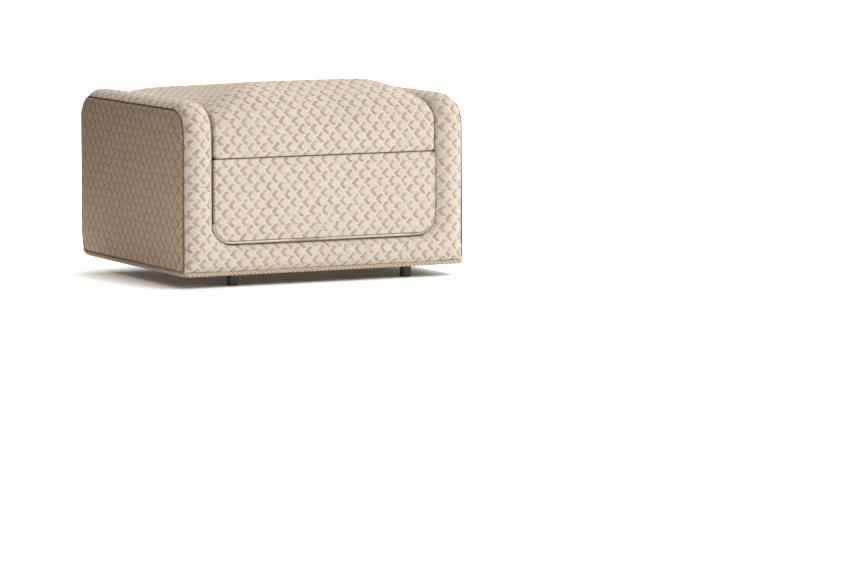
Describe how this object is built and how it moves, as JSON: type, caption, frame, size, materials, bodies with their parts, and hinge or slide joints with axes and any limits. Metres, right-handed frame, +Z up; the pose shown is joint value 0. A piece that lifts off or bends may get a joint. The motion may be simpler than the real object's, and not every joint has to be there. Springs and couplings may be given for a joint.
{
  "type": "sleeper chair",
  "caption": "Upholstered sleeper chair: a flat-topped block with slab arms, whose folded slatted mattress sections open over the front into a single bed.",
  "frame": {"origin": "on the floor, below the middle of the closed block", "axes": "+X to the right as seen from the front, +Y to the back, +Z up"},
  "size_m": [0.96, 0.82, 0.62],
  "materials": {
    "cover_fabric": "matte",
    "mattress_ticking": "matte",
    "plywood": "matte",
    "timber": "matte",
    "slat_wood": "satin",
    "frame_steel": "satin",
    "zinc_steel": "satin",
    "leg_metal": "satin",
    "black_plastic": "matte"
  },
  "bodies": {
    "casing": {"left_arm_panel": "plywood", "right_arm_panel": "plywood", "left_arm_battens": "timber", "right_arm_battens": "timber", "left_arm_padding": "cover_fabric", "right_arm_padding": "cover_fabric", "back_panel": "plywood", "back_padding": "cover_fabric", "front_rail_board": "plywood", "rail_padding": "cover_fabric", "rear_rail_board": "plywood", "side_cleats": "timber", "corner_blocks": "timber", "cleat_bolts": "zinc_steel", "frame_bolts": "zinc_steel", "front_legs": "leg_metal", "rear_legs": "leg_metal", "leg_glides": "black_plastic", "base_frame": "frame_steel", "base_slats": "slat_wood", "base_slat_caps": "black_plastic", "base_mattress": "mattress_ticking", "base_hinge_plates": "frame_steel", "fold_pins": "zinc_steel", "link_ground_pins": "zinc_steel", "flap_fixed_leaf": "zinc_steel", "flap_pin": "zinc_steel"},
    "flap": {"flap_board": "plywood", "flap_padding": "cover_fabric", "flap_moving_leaf": "zinc_steel"},
    "middle_section": {"middle_frame": "frame_steel", "middle_slats": "slat_wood", "middle_slat_caps": "black_plastic", "middle_mattress": "mattress_ticking", "middle_front_plates": "frame_steel", "middle_rear_plates": "frame_steel", "seat_pins": "zinc_steel", "middle_leg_lugs": "frame_steel"},
    "seat_section": {"seat_frame": "frame_steel", "seat_slats": "slat_wood", "seat_slat_caps": "black_plastic", "seat_cushion": "cover_fabric", "band_board": "plywood", "band_padding": "cover_fabric", "band_brackets": "frame_steel", "seat_hinge_plates": "frame_steel", "link_seat_pins": "zinc_steel", "seat_leg_lugs": "frame_steel"},
    "middle_leg": {"middle_leg_tube": "frame_steel", "middle_leg_feet": "black_plastic"},
    "seat_leg": {"seat_leg_tube": "frame_steel", "seat_leg_feet": "black_plastic"},
    "level_links": {"link_bars": "frame_steel"}
  },
  "joints": [
    {"name": "fold_1", "type": "hinge", "parent": "casing", "child": "middle_section", "pos_m": [0, -0.335, 0.3095], "axis": [1, 0, 0], "range_deg": [0, 180]},
    {"name": "fold_2", "type": "hinge", "parent": "middle_section", "child": "seat_section", "pos_m": [0, 0.335, 0.435], "axis": [-1, 0, 0], "range_deg": [0, 180]},
    {"name": "flap_drop", "type": "hinge", "parent": "casing", "child": "flap", "pos_m": [0, -0.404, 0.137], "axis": [1, 0, 0], "range_deg": [0, 90]},
    {"name": "middle_leg_swing", "type": "hinge", "parent": "middle_section", "child": "middle_leg", "pos_m": [0, 0.285, 0.422], "axis": [-1, 0, 0], "range_deg": [0, 90]},
    {"name": "seat_leg_swing", "type": "hinge", "parent": "seat_section", "child": "seat_leg", "pos_m": [0, -0.285, 0.448], "axis": [-1, 0, 0], "range_deg": [0, 90]},
    {"name": "link_swing", "type": "hinge", "parent": "casing", "child": "level_links", "pos_m": [0, -0.36252, 0.30434], "axis": [1, 0, 0], "range_deg": [0, 180]}
  ],
  "couplings": [
    {"joint": "fold_2", "follows": "fold_1", "ratio": 1},
    {"joint": "flap_drop", "follows": "fold_1", "ratio": 0.5},
    {"joint": "middle_leg_swing", "follows": "fold_1", "ratio": 0.5},
    {"joint": "seat_leg_swing", "follows": "fold_1", "ratio": 0.5},
    {"joint": "link_swing", "follows": "fold_1", "ratio": 1}
  ]
}
